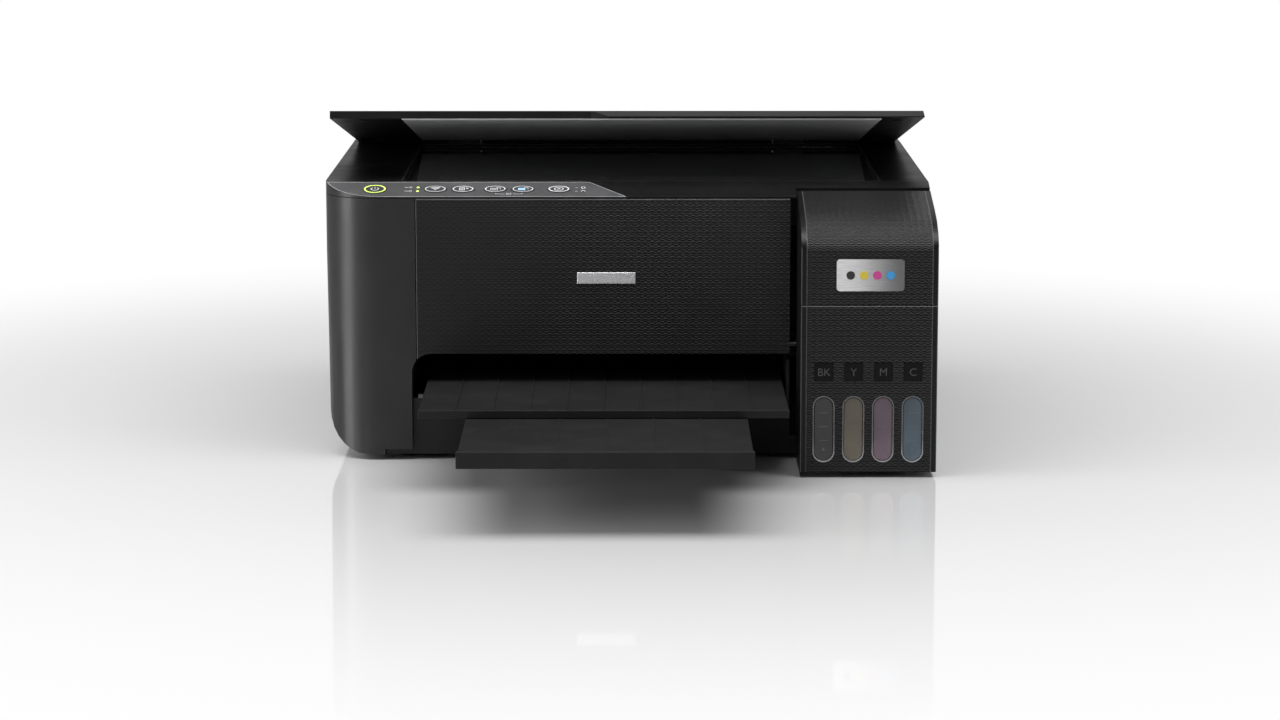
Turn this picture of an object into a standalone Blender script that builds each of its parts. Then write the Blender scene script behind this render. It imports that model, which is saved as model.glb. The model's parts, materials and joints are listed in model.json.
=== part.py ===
"""A4 ink-tank printer with a flatbed scanner, modelled as the separate pieces it is built from.

Lengths are millimetres until a piece is placed, when they become metres. X runs to the right, Y runs
from the front panel's plane towards the rear, and Z runs up from the surface that the printer stands on.
The world origin is under the middle of the whole printer, with its paper tray drawn out.
"""
from math import asin, atan, cos, degrees, pi, radians, sin, tan

import bmesh
import bpy
from mathutils import Vector

# ---------------------------------------------------------------- driving dimensions, in millimetres
MM = 0.001
FRONT_Y = -33.0              # world Y of the front panel's plane

HALF_WIDTH = 187.5
REAR_Y = 291.0
BASE_Z = 3.0                 # underside of the casing
SEAM_Z = 163.0               # top of the lower casing, where the scanner unit starts
WALL = 2.5
GAP = 0.3                    # left between pieces that touch
CORNER_R = 35.0              # front left corner, seen from above
UNDER_R = 25.0               # left lower edge, seen from the front
SIDE_DRAFT = 2.0             # the left side leans in by this much towards the bottom

PANEL_X = (-129.8, 100.8)    # front panel
PANEL_Z = (66.5, SEAM_Z)
PANEL_THICK = 3.0
MOUTH_LEFT = -133.0          # paper exit
MOUTH_R = 12.0               # its upper left corner
REAR_DECK_Y = 263.5          # the fixed deck behind the scanner unit

TANK_X = (105.0, HALF_WIDTH)
TANK_FRONT = -56.0
TANK_SEAM_Z = 105.0
TANK_PITCH = 17.93
TANK_CENTRE_X = 146.0
INKS = ("black", "yellow", "magenta", "cyan")
COVER_HINGE = (6.0, 159.5)   # (Y, Z) of the ink cover's hinge
CAP_HINGE = (-8.0, 98.2)

LIP_Z = 164.4                # front edge of the scanner unit's sloping strip
TOP_Z = 170.5                # flat top of the scanner unit
SLOPE_Y = 25.0               # depth of the sloping strip
SLOPE = (TOP_Z - LIP_Z) / SLOPE_Y
UNIT_BOTTOM = SEAM_Z + GAP
UNIT_REAR = 261.0
LIFT_HINGE = (258.0, 167.0)  # scanner unit
GLASS_X = (-139.5, 157.5)    # the visible A4 platen, 297 x 216
GLASS_Y = (30.0, 246.0)

LID_HINGE = (256.0, 174.2)
LID_OPEN = 9.5               # degrees, as it rests
LID_HALF = 184.0
LID_REAR = 257.5
LID_UNDER = 171.6            # underside when closed
VISOR_Y = 14.5               # front edge of the lid's sloping visor, beside the control panel

TRAY_X = (-123.6, 96.4)
TRAY_Z = (44.5, 48.5)
EXTENSION_X = (-95.3, 71.7)
EXTENSION_FRONT = -225.0
PAPER_X = -13.6              # middle of the sheet
RING_X = [PAPER_X + 45.0 * k for k in (-2, -1, 0, 1, 2)]    # rubber rings, with star wheels over them
SUPPORT_TOP = (281.5, 170.4)
SUPPORT_TILT = 15.0

FEED_AXIS = (140.0, 61.0)
EJECT_AXIS = (75.0, 60.0)
PICKUP_AXIS = (225.0, 85.0)
FEED_GEAR_R = 16.0
EJECT_GEAR_R = 12.0
PINION_R = 5.0
RAIL_AXIS = (118.0, 122.0)
BELT_Z = 118.0
PULLEY_X = (-155.0, 165.0)   # idler pulley, motor pulley
PULLEY_R = 7.0
GEAR_X = (-178.5, -172.5)    # the gear train's faces, outside the left side plate
FEED_TEETH = 24
EJECT_TEETH = 18
IDLER_TEETH = 28
PINION_TEETH = 10
CARRIAGE_HOME = 138.0
FRAME_X = (-170.0, 183.5)    # outer faces of the side plates

BUTTON_Y = 12.0
BUTTONS = {                  # name: (X, width across X, width along the slope)
    "power_button": (-155.4, 14.0, 14.0),
    "wireless_button": (-118.1, 13.6, 10.6),
    "status_button": (-101.0, 13.6, 10.6),
    "copy_mono_button": (-81.1, 13.6, 10.6),
    "copy_color_button": (-64.0, 13.6, 10.6),
    "stop_button": (-41.8, 13.6, 10.6),
}

BLACK = (0.012, 0.012, 0.013)
SATIN = (0.02, 0.02, 0.021)
GREY = (0.09, 0.09, 0.095)
STEEL = (0.45, 0.45, 0.46)
RUBBER = (0.01, 0.01, 0.01)
WHITE = (0.6, 0.6, 0.58)
INK_COLOURS = {
    "black": (0.02, 0.02, 0.02),
    "yellow": (0.30, 0.26, 0.12),
    "magenta": (0.26, 0.10, 0.22),
    "cyan": (0.10, 0.22, 0.32),
}


# ---------------------------------------------------------------- modelling tools
def clear_scene():
    for obj in list(bpy.data.objects):
        bpy.data.objects.remove(obj, do_unlink=True)


def shape_from(bm):
    """A loose shape in millimetres, made from a closed bmesh."""
    bmesh.ops.recalc_face_normals(bm, faces=bm.faces)
    mesh = bpy.data.meshes.new("shape")
    bm.to_mesh(mesh)
    bm.free()
    shape = bpy.data.objects.new("shape", mesh)
    bpy.context.scene.collection.objects.link(shape)
    return shape


def prism(axis, outline, low, high):
    """Extrude an outline along an axis. It is (Y, Z) along X, (X, Z) along Y and (X, Y) along Z."""
    spread = {
        "x": lambda a, b, c: (c, a, b),
        "y": lambda a, b, c: (a, c, b),
        "z": lambda a, b, c: (a, b, c),
    }[axis]
    bm = bmesh.new()
    face = bm.faces.new([bm.verts.new(spread(a, b, low)) for a, b in outline])
    step = Vector(spread(0.0, 0.0, high - low))
    swept = bmesh.ops.extrude_face_region(bm, geom=[face], use_keep_orig=True)
    moved = [item for item in swept["geom"] if isinstance(item, bmesh.types.BMVert)]
    bmesh.ops.translate(bm, verts=moved, vec=step)
    return shape_from(bm)


def block(x, y, z):
    """A box between pairs of limits."""
    return prism("z", [(x[0], y[0]), (x[1], y[0]), (x[1], y[1]), (x[0], y[1])], z[0], z[1])


def arc(centre, radius, start, end, steps):
    """Points along an arc, angles in degrees."""
    angles = [radians(start + (end - start) * step / steps) for step in range(steps + 1)]
    return [(centre[0] + radius * cos(a), centre[1] + radius * sin(a)) for a in angles]


def rod(axis, centre, radius, low, high, sides=20, squash=1.0):
    points = [(centre[0] + radius * cos(2 * pi * k / sides),
               centre[1] + radius * squash * sin(2 * pi * k / sides)) for k in range(sides)]
    return prism(axis, points, low, high)


def gear(axis, centre, radius, low, high, teeth):
    """A spur gear with plain tapered teeth."""
    tooth = min(1.8, radius * 0.2)
    points = []
    for k in range(teeth):
        for part, r in ((0.0, radius - tooth), (0.30, radius - tooth), (0.42, radius), (0.86, radius)):
            a = 2 * pi * (k + part) / teeth
            points.append((centre[0] + r * cos(a), centre[1] + r * sin(a)))
    return prism(axis, points, low, high)


def stadium(centre, half_run, radius, steps, upright):
    """A pill outline: two half circles joined by straight sides."""
    if upright:
        top = arc((centre[0], centre[1] + half_run), radius, 0, 180, steps)
        return top + arc((centre[0], centre[1] - half_run), radius, 180, 360, steps)
    right = arc((centre[0] + half_run, centre[1]), radius, -90, 90, steps)
    return right + arc((centre[0] - half_run, centre[1]), radius, 90, 270, steps)


def combine(shape, operation, tools):
    for tool in tools:
        modifier = shape.modifiers.new("boolean", "BOOLEAN")
        modifier.operation = operation
        modifier.solver = "EXACT"
        modifier.object = tool
        bpy.context.view_layer.update()
        depsgraph = bpy.context.evaluated_depsgraph_get()
        result = bpy.data.meshes.new_from_object(shape.evaluated_get(depsgraph))
        shape.modifiers.clear()
        shape.data = result
        bpy.data.objects.remove(tool, do_unlink=True)
    return shape


def cut(shape, *tools):
    return combine(shape, "DIFFERENCE", tools)


def join(shape, *tools):
    return combine(shape, "UNION", tools)


def common(shape, *tools):
    return combine(shape, "INTERSECT", tools)


def material(name, colour, roughness, metallic=0.0):
    made = bpy.data.materials.get(name) or bpy.data.materials.new(name)
    made.use_nodes = True
    shader = made.node_tree.nodes["Principled BSDF"]
    shader.inputs["Base Color"].default_value = (*colour, 1.0)
    shader.inputs["Roughness"].default_value = roughness
    shader.inputs["Metallic"].default_value = metallic
    return made


def node(name, shape, finish, origin=(0.0, 0.0, 0.0), tilt=0.0):
    """Name a shape, give it its finish, and put its origin at a point with a turn about X."""
    mesh = shape.data
    for vertex in mesh.vertices:
        vertex.co = (vertex.co - Vector(origin)) * MM
    mesh.materials.clear()
    mesh.materials.append(finish)
    mesh.name = name
    shape.name = name
    shape.location = Vector((origin[0], origin[1] + FRONT_Y, origin[2])) * MM
    shape.rotation_euler = (radians(tilt), 0.0, 0.0)
    mesh.shade_smooth()
    mesh.set_sharp_from_angle(angle=radians(30))
    return shape


# ---------------------------------------------------------------- casing
def casing(inset):
    """The lower casing's outer form, or the same form inset from every face."""
    side = HALF_WIDTH - inset
    corner = CORNER_R - inset
    plan = [(side, inset), (side, REAR_Y - inset), (-side, REAR_Y - inset)]
    plan += arc((-HALF_WIDTH + CORNER_R, CORNER_R), corner, 180, 270, 9)
    foot = -side + SIDE_DRAFT
    front = [(side, 200.0), (-side, 200.0), (-side, SEAM_Z)]
    front += arc((foot + UNDER_R - inset, BASE_Z + UNDER_R), UNDER_R - inset, 180, 270, 7)
    front += [(side, BASE_Z + inset)]
    return common(prism("z", plan, -10.0, 210.0), prism("y", front, -10.0, 300.0))


def hinge_step(x):
    """Room over the side walls for the scanner unit's rear corners to turn down into."""
    return block(x, (256.5, 263.2), (161.8, 210.0))


def mouth_corner():
    """The web that rounds the paper mouth's upper left corner. A seam divides it between two pieces."""
    centre = (MOUTH_LEFT + MOUTH_R, PANEL_Z[0] - MOUTH_R)
    web = block((MOUTH_LEFT, centre[0]), (0.0, PANEL_THICK), (centre[1], PANEL_Z[0] + 1.0))
    return cut(web, rod("y", centre, MOUTH_R, -5.0, 10.0, sides=48))


def make_left_cover():
    shape = common(casing(0.0), block((-200.0, -130.3), (-5.0, 288.2), (0.0, TOP_Z)))
    mouth = cut(block((MOUTH_LEFT, -130.0), (-1.0, 30.0), (0.0, PANEL_Z[0])), mouth_corner())
    floor = block((-150.0, -120.0), (-1.0, 300.0), (0.0, 6.5))
    above = block((-200.0, -120.0), (-5.0, 263.2), (SEAM_Z, 210.0))
    step = hinge_step((-200.0, -120.0))
    shape = cut(shape, casing(WALL), mouth, floor, above, step)
    cheek = block((MOUTH_LEFT - WALL, MOUTH_LEFT), (1.0, 60.0), (14.3, 66.0))
    node("left_cover", join(shape, cheek), material("satin_black", BLACK, 0.4))


def make_right_cover():
    outline = [(2.3, BASE_Z), (288.2, BASE_Z), (288.2, TOP_Z), (263.2, TOP_Z), (263.2, 161.8),
               (256.5, 161.8), (256.5, SEAM_Z), (15.2, SEAM_Z), (15.2, 150.5), (2.3, 150.5)]
    shape = prism("x", outline, HALF_WIDTH - WALL, HALF_WIDTH)
    node("right_cover", shape, material("satin_black", BLACK, 0.4))


def make_rear_cover():
    wall = common(casing(0.0), block((-200.0, 200.0), (REAR_Y - WALL, REAR_Y), (0.0, TOP_Z)))
    deck = block((-184.7, 184.7), (REAR_DECK_Y, REAR_Y - 1.0), (168.0, TOP_Z))
    slot = block((-140.0, 110.0), (266.0, 287.0), (150.0, 190.0))
    inlet = block((-160.0, -135.0), (280.0, 300.0), (20.0, 40.0))
    port = block((60.0, 74.0), (280.0, 300.0), (24.0, 36.0))
    node("rear_cover", cut(join(wall, deck), slot, inlet, port), material("satin_black", BLACK, 0.45))


def make_base_pan():
    pan = block((-149.7, 184.7), (3.3, 288.2), (BASE_Z, 14.0))
    hollow = block((-147.2, 182.2), (5.8, 285.7), (6.0, 20.0))
    ribs = [block((x, x + 3.0), (6.3, 216.0), (5.0, 44.2)) for x in (-122.0, 91.0)]
    sill = block((MOUTH_LEFT + GAP, 100.8), (3.3, 6.5), (5.0, 38.0))
    cheek = block((99.0, 101.0), (4.0, 60.0), (5.0, 62.0))
    node("base_pan", join(cut(pan, hollow), *ribs, sill, cheek), material("moulded_black", BLACK, 0.5))


def make_front_panel():
    plate = block(PANEL_X, (0.0, PANEL_THICK), PANEL_Z)
    fold = block(PANEL_X, (1.0, 10.0), (PANEL_Z[0], PANEL_Z[0] + WALL))
    corner = common(mouth_corner(), block((PANEL_X[0], 0.0), (-1.0, 10.0), (0.0, 100.0)))
    node("front_panel", join(plate, fold, corner), material("ripple_black", SATIN, 0.35))


def make_feet():
    places = {"foot_front_left": (-136.0, 24.0), "foot_rear_left": (-136.0, 266.0),
              "foot_front_right": (160.0, -36.0), "foot_rear_right": (160.0, 266.0)}
    for name, (x, y) in places.items():
        shape = rod("z", (x, y), 9.0, 0.0, BASE_Z - GAP, sides=24)
        node(name, shape, material("rubber", RUBBER, 0.8))


# ---------------------------------------------------------------- ink tanks
def ink_places():
    """Each ink's name and the X of its tank's middle."""
    return [(ink, TANK_CENTRE_X + (k - 1.5) * TANK_PITCH) for k, ink in enumerate(INKS)]


def make_tank_housing():
    shape = block(TANK_X, (TANK_FRONT, 2.0), (BASE_Z, TANK_SEAM_Z))
    inside = block((TANK_X[0] + WALL, TANK_X[1] - WALL), (TANK_FRONT + WALL, -0.5), (5.5, 120.0))
    windows = [prism("y", stadium((x, 29.5), 13.75, 6.75, 8, True), TANK_FRONT - 5.0, TANK_FRONT + 5.0)
               for _, x in ink_places()]
    back = block((107.8, 184.7), (-0.5, 2.0), (90.0, 158.0))
    shape = join(cut(shape, inside, *windows), back)
    for x in (109.0, 180.0):
        web = block((x, x + 4.0), (0.5, 6.0), (148.0, 158.5))
        eye = rod("x", COVER_HINGE, 3.0, x, x + 4.0)
        bore = rod("x", COVER_HINGE, 1.8, x - 1.0, x + 5.0)
        shape = cut(join(shape, web, eye), bore)
    node("tank_housing", shape, material("ripple_black", SATIN, 0.35))


def make_ink_tank(ink, x):
    """A full tank. Its filler neck is shut by a valve a few millimetres down."""
    body = block((x - 8.45, x + 8.45), (-53.1, -1.0), (6.0, 88.0))
    neck = rod("z", (x, -27.0), 5.0, 87.0, 97.0, sides=16)
    bore = rod("z", (x, -27.0), 3.4, 94.0, 98.0, sides=16)
    finish = material(ink + "_ink", INK_COLOURS[ink], 0.2)
    node("ink_tank_" + ink, cut(join(body, neck), bore), finish)


def make_tank_cap(ink, x):
    """A stopper on a strap that folds at the strap's rear end."""
    plate = block((x - 6.5, x + 6.5), (-36.0, CAP_HINGE[0]), (97.4, 101.0))
    plug = rod("z", (x, -27.0), 2.6, 94.6, 98.0, sides=16)
    finish = material(ink + "_cap", INK_COLOURS[ink], 0.5)
    node("tank_cap_" + ink, join(plate, plug), finish, origin=(x, *CAP_HINGE))


def make_tank_cover():
    outer = [(TANK_FRONT, TANK_SEAM_Z + GAP), (TANK_FRONT, 138.0), (-54.6, 143.0), (-50.0, 148.5),
             (-39.0, 154.5), (-22.0, 159.3), (-5.0, 163.0), (10.5, 166.6), (12.5, 163.0),
             (12.5, 158.0), (9.0, 153.5), (2.0, 152.0), (2.0, TANK_SEAM_Z + GAP)]
    inner = [(-53.7, 100.0), (-53.7, 137.5), (-52.4, 141.8), (-48.4, 146.6), (-38.0, 152.2),
             (-21.5, 157.0), (-4.5, 160.7), (9.5, 163.9), (20.0, 163.9), (20.0, 100.0)]
    shape = cut(prism("x", outer, *TANK_X), prism("x", inner, TANK_X[0] + WALL, TANK_X[1] - WALL))
    pins = [rod("x", COVER_HINGE, 1.5, low, high) for low, high in ((106.5, 114.5), (178.0, 186.0))]
    finish = material("ripple_black", SATIN, 0.35)
    node("tank_cover", join(shape, *pins), finish, origin=(TANK_CENTRE_X, *COVER_HINGE))


# ---------------------------------------------------------------- print mechanism
def make_print_frame():
    outer = block(FRAME_X, (40.0, 250.0), (15.0, 138.0))
    room = block((FRAME_X[0] + 2.0, FRAME_X[1] - 2.0), (30.0, 260.0), (0.0, 200.0))
    wall = block((FRAME_X[0] + 1.0, FRAME_X[1] - 1.0), (150.0, 152.0), (90.0, 138.0))
    bores = [rod("x", centre, radius, -190.0, 190.0) for centre, radius in
             ((FEED_AXIS, 3.4), (EJECT_AXIS, 2.9), (PICKUP_AXIS, 3.4))]
    motor_hole = rod("y", (PULLEY_X[1], BELT_Z), 4.0, 140.0, 160.0)
    # Cutting the room out of the block leaves two side plates, which the cross wall joins again.
    shape = join(cut(outer, room), wall)
    node("print_frame", cut(shape, motor_hole, *bores), material("steel", STEEL, 0.35, 1.0))


def make_carriage():
    rail = rod("x", RAIL_AXIS, 4.0, FRAME_X[0] + 2.3, FRAME_X[1] - 2.3)
    node("carriage_rail", rail, material("steel", STEEL, 0.35, 1.0))
    centre = (CARRIAGE_HOME, 110.0, 102.0)
    shell = block((CARRIAGE_HOME - 40.0, CARRIAGE_HOME + 40.0), (82.0, 138.0), (70.0, 135.0))
    bore = rod("x", RAIL_AXIS, 4.4, 0.0, 200.0)
    node("print_carriage", cut(shell, bore), material("moulded_black", BLACK, 0.5), origin=centre)
    head = block((CARRIAGE_HOME - 22.0, CARRIAGE_HOME + 22.0), (92.0, 120.0), (67.5, 69.7))
    node("print_head", head, material("steel", STEEL, 0.35, 1.0), origin=centre)


def make_drive_belt():
    can = rod("y", (PULLEY_X[1], BELT_Z), 14.0, 152.3, 180.0)
    boss = rod("y", (PULLEY_X[1], BELT_Z), 3.5, 151.9, 153.0)
    node("carriage_motor", join(can, boss), material("steel", STEEL, 0.35, 1.0))
    for name, x, reach in (("idler_pulley", PULLEY_X[0], 149.7), ("carriage_pulley", PULLEY_X[1], 151.6)):
        wheel = rod("y", (x, BELT_Z), PULLEY_R, 143.5, 149.3)
        axle = rod("y", (x, BELT_Z), 1.6, 142.5, reach, sides=12)
        finish = material("white_plastic", WHITE, 0.5)
        node(name, join(wheel, axle), finish, origin=(x, 146.0, BELT_Z))
    middle = (sum(PULLEY_X) / 2.0, BELT_Z)
    half_run = (PULLEY_X[1] - PULLEY_X[0]) / 2.0
    outer = prism("y", stadium(middle, half_run, PULLEY_R + 1.3, 10, False), 144.0, 149.0)
    inner = prism("y", stadium(middle, half_run, PULLEY_R + GAP, 10, False), 140.0, 155.0)
    node("timing_belt", cut(outer, inner), material("rubber", RUBBER, 0.8))


def make_rollers():
    steel = material("steel", STEEL, 0.35, 1.0)
    feed = rod("x", FEED_AXIS, 3.0, -178.0, 184.2)
    sleeve = rod("x", FEED_AXIS, 5.5, -119.0, 92.0)
    wheel = gear("x", FEED_AXIS, FEED_GEAR_R, *GEAR_X, FEED_TEETH)
    node("feed_roller", join(feed, sleeve, wheel), steel, origin=(0.0, *FEED_AXIS))

    eject = rod("x", EJECT_AXIS, 2.5, -178.0, 184.2)
    rings = [rod("x", EJECT_AXIS, 6.0, x - 6.0, x + 6.0) for x in RING_X]
    wheel = gear("x", EJECT_AXIS, EJECT_GEAR_R, *GEAR_X, EJECT_TEETH)
    node("eject_roller", join(eject, *rings, wheel), steel, origin=(0.0, *EJECT_AXIS))

    pickup = rod("x", PICKUP_AXIS, 3.0, -176.0, 184.2)
    tyres = [rod("x", PICKUP_AXIS, 14.0, x - 12.0, x + 12.0) for x in (-62.0, 35.0)]
    node("pickup_roller", join(pickup, *tyres), steel, origin=(0.0, *PICKUP_AXIS))

    star_axis = (EJECT_AXIS[0], 70.4)
    star = rod("x", star_axis, 1.2, -118.0, 92.0, sides=12)
    discs = [rod("x", star_axis, 4.0, x - 1.0, x + 1.0) for x in RING_X]
    node("star_wheel_shaft", join(star, *discs), steel, origin=(0.0, *star_axis))


def make_gear_train():
    """The motor's pinion drives the feed roller, and an idler passes the drive to the eject roller."""
    white = material("white_plastic", WHITE, 0.5)
    play = 0.4
    idler_r = (FEED_AXIS[0] - EJECT_AXIS[0] - FEED_GEAR_R - EJECT_GEAR_R) / 2.0 - play
    idler_axis = (EJECT_AXIS[0] + EJECT_GEAR_R + idler_r + play, (FEED_AXIS[1] + EJECT_AXIS[1]) / 2.0)
    idler = gear("x", idler_axis, idler_r, *GEAR_X, IDLER_TEETH)
    stub = rod("x", idler_axis, 4.0, -182.0, FRAME_X[0] - 0.4)
    node("idler_gear", join(idler, stub), white, origin=(0.0, *idler_axis))
    motor_axis = (FEED_AXIS[0] + 20.5, FEED_AXIS[1] + 6.5)
    pinion = gear("x", motor_axis, PINION_R, *GEAR_X, PINION_TEETH)
    shaft = rod("x", motor_axis, 1.5, -179.5, FRAME_X[0] - 0.4)
    node("motor_pinion", join(pinion, shaft), white, origin=(0.0, *motor_axis))
    motor = rod("x", motor_axis, 13.0, -167.6, -140.0, sides=28)
    node("feed_motor", motor, material("steel", STEEL, 0.35, 1.0))


def make_print_bed():
    bed = block((-122.0, 95.0), (85.0, 130.0), (56.0, 64.0))
    ribs = [block((x, x + 2.0), (86.0, 129.0), (63.0, 66.0)) for x in range(-118, 95, 30)]
    node("platen", join(bed, *ribs), material("moulded_black", BLACK, 0.5))
    station = block((105.0, 172.0), (86.0, 130.0), (50.0, 66.5))
    well = block((118.0, 158.0), (92.0, 120.0), (60.0, 70.0))
    pad_box = block((112.0, 170.0), (60.0, 130.0), (16.0, 51.0))
    node("capping_station", join(cut(station, well), pad_box), material("grey_plastic", GREY, 0.5))


def make_electrics():
    supply = block((-166.0, -138.0), (90.0, 230.0), (15.0, 50.0))
    node("power_supply", supply, material("moulded_black", BLACK, 0.5))
    board = block((20.0, 150.0), (283.0, 284.6), (20.0, 95.0))
    port = block((60.4, 73.6), (278.0, 290.8), (24.4, 35.6))
    socket = block((62.0, 72.0), (282.0, 295.0), (26.0, 34.0))
    node("main_board", cut(join(board, port), socket), material("board_green", (0.02, 0.09, 0.05), 0.4))
    inlet = block((-159.7, -135.3), (262.0, 290.8), (20.3, 39.7))
    socket = block((-156.0, -139.0), (272.0, 295.0), (24.0, 36.0))
    node("power_inlet", cut(inlet, socket), material("moulded_black", BLACK, 0.5))


# ---------------------------------------------------------------- paper handling
def make_paper_feed():
    def support_y(z, off):
        """Y of a plane parallel to the paper support, off millimetres behind its middle."""
        return SUPPORT_TOP[0] - (SUPPORT_TOP[1] - z) * tan(radians(SUPPORT_TILT)) \
            + off / cos(radians(SUPPORT_TILT))

    back = prism("x", [(support_y(164.0, 1.8), 164.0), (support_y(164.0, 4.2), 164.0),
                       (support_y(66.0, 4.2), 66.0), (support_y(66.0, 1.8), 66.0)], -142.0, 112.0)
    side = [(267.0, 160.0), (support_y(164.0, 4.2), 164.0), (support_y(66.0, 4.2), 66.0), (240.0, 66.0)]
    ends = [prism("x", side, x, x + WALL) for x in (-143.0, 110.5)]
    ledge = block((-142.0, 112.0), (240.0, support_y(68.5, 3.0)), (66.0, 68.5))
    black = material("moulded_black", BLACK, 0.5)
    node("paper_feed_frame", join(back, *ends, ledge), black)

    length = 100.0
    top = SUPPORT_TOP
    plate = block((-125.0, 100.0), (top[0] - 1.2, top[0] + 1.2), (top[1] - length, top[1] - 0.8))
    grip = block((-60.0, 35.0), (top[0] - 2.2, top[0] + 4.0), (top[1] - 4.0, top[1] - 0.8))
    node("paper_support", join(plate, grip), black, origin=(PAPER_X, *top), tilt=-SUPPORT_TILT)

    flap = block((-139.5, 109.5), (267.0, 277.6), (168.0, TOP_Z))
    node("feeder_guard", flap, material("satin_black", BLACK, 0.4), origin=(PAPER_X, 267.5, 169.2))

    guide = block((-126.0, -123.0), (267.0, 273.0), (148.0, 166.0))
    foot = block((-124.0, -112.0), (267.0, 269.5), (148.0, 151.0))
    node("edge_guide", join(guide, foot), material("grey_plastic", GREY, 0.5), origin=(-120.0, 270.0, 155.0))


def make_output_tray():
    black = material("moulded_black", BLACK, 0.5)
    tray = block(TRAY_X, (-100.0, 100.0), TRAY_Z)
    lip = block(TRAY_X, (-100.0, -97.0), (TRAY_Z[0], TRAY_Z[1] + 0.6))
    node("output_tray", join(tray, lip), black, origin=(PAPER_X, 0.0, TRAY_Z[1]))
    plate = block(EXTENSION_X, (EXTENSION_FRONT + 3.0, -84.0), (39.6, 44.1))
    bar = block(EXTENSION_X, (EXTENSION_FRONT, EXTENSION_FRONT + 4.0), (39.0, TRAY_Z[1]))
    node("tray_extension", join(plate, bar), black, origin=(PAPER_X, EXTENSION_FRONT, TRAY_Z[1]))


# ---------------------------------------------------------------- scanner unit
def slope_z(y):
    return LIP_Z + SLOPE * y


def unit_profile():
    """Side view of the scanner unit: a strip that slopes up from the front, then the flat top."""
    return [(0.0, UNIT_BOTTOM), (0.0, LIP_Z), (SLOPE_Y, TOP_Z), (UNIT_REAR, TOP_Z), (UNIT_REAR, UNIT_BOTTOM)]


def corner_arc(y_from):
    """The rounded front left corner, from a Y on the left side round to the front edge."""
    start = 180.0 + asin((CORNER_R - y_from) / CORNER_R) * 180.0 / pi
    return arc((-HALF_WIDTH + CORNER_R, CORNER_R), CORNER_R, start, 270, 8)


def make_scanner_bezel():
    side_y = SLOPE_Y + GAP
    side_x = corner_arc(side_y)[0][0]
    plan = [(HALF_WIDTH, 14.8), (HALF_WIDTH, UNIT_REAR), (-HALF_WIDTH, UNIT_REAR), (-HALF_WIDTH, CORNER_R),
            (side_x, side_y), (-22.5, side_y), (0.5, 0.0), (104.7, 0.0), (104.7, 14.8)]
    shape = common(prism("z", plan, 150.0, 190.0), prism("x", unit_profile(), -200.0, 200.0))
    # The rib along the rear closes the gap under the lid's rear edge, and stays clear of it as it opens.
    rib = block((-184.0, 184.0), (258.4, 260.0), (TOP_Z - 1.0, TOP_Z + 2.5))
    hollow = block((-185.0, 185.0), (27.8, 258.5), (150.0, 168.5))
    opening = block(GLASS_X, GLASS_Y, (150.0, 190.0))
    pockets = [block((sign * 110.0 - 10.3, sign * 110.0 + 10.3), (251.7, 260.3), (150.0, 190.0))
               for sign in (-1, 1)]
    shape = cut(join(shape, rib), hollow, opening, *pockets)
    node("scanner_bezel", shape, material("gloss_black", BLACK, 0.2), origin=(0.0, *LIFT_HINGE))


def make_scanner_inside():
    tub = block((-146.0, 165.0), (26.0, 251.0), (143.0, SEAM_Z))
    hollow = block((-144.0, 163.0), (28.0, 249.0), (145.0, 180.0))
    node("scanner_tub", cut(tub, hollow), material("moulded_black", BLACK, 0.5), origin=(0.0, *LIFT_HINGE))
    glass = block((-144.0, 162.5), (28.1, 251.3), (165.3, 168.2))
    node("scan_glass", glass, material("glass", (0.01, 0.01, 0.01), 0.03), origin=(0.0, *LIFT_HINGE))
    sensor = block((-142.0, -126.0), (30.0, 247.0), (148.0, 161.5))
    node("scan_sensor", sensor, material("moulded_black", BLACK, 0.5), origin=(-134.0, 138.0, 155.0))


def button_centre(x):
    return (x, BUTTON_Y, slope_z(BUTTON_Y))


def button_shape(x, width, depth, low, high, grow):
    """An oval plug, drawn level round its own middle. Its node tilts it to the panel's slope."""
    centre = button_centre(x)
    radius = width / 2.0 + grow
    squash = (depth / 2.0 + grow) / radius
    return rod("z", centre[:2], radius, centre[2] + low, centre[2] + high, sides=24, squash=squash)


def make_control_panel():
    slope_angle = degrees(atan(SLOPE))
    plan = corner_arc(SLOPE_Y) + [(0.0, 0.0), (-23.0, SLOPE_Y)]
    shape = common(prism("z", plan, 150.0, 190.0), prism("x", unit_profile(), -200.0, 200.0))
    holes = []
    for x, width, depth in BUTTONS.values():
        hole = button_shape(x, width, depth, -12.0, 12.0, 0.35)
        tilt_shape(hole, button_centre(x), slope_angle)
        holes.append(hole)
    node("control_panel", cut(shape, *holes), material("panel_grey", GREY, 0.35), origin=(0.0, *LIFT_HINGE))
    for name, (x, width, depth) in BUTTONS.items():
        plug = button_shape(x, width, depth, -1.4, 0.4, 0.0)
        node(name, plug, material("key_grey", SATIN, 0.35), origin=button_centre(x), tilt=slope_angle)


def tilt_shape(shape, pivot, degrees):
    """Turn a loose shape about the X line through a point."""
    turn = radians(degrees)
    for vertex in shape.data.vertices:
        y = vertex.co.y - pivot[1]
        z = vertex.co.z - pivot[2]
        vertex.co.y = pivot[1] + y * cos(turn) - z * sin(turn)
        vertex.co.z = pivot[2] + y * sin(turn) + z * cos(turn)


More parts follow.
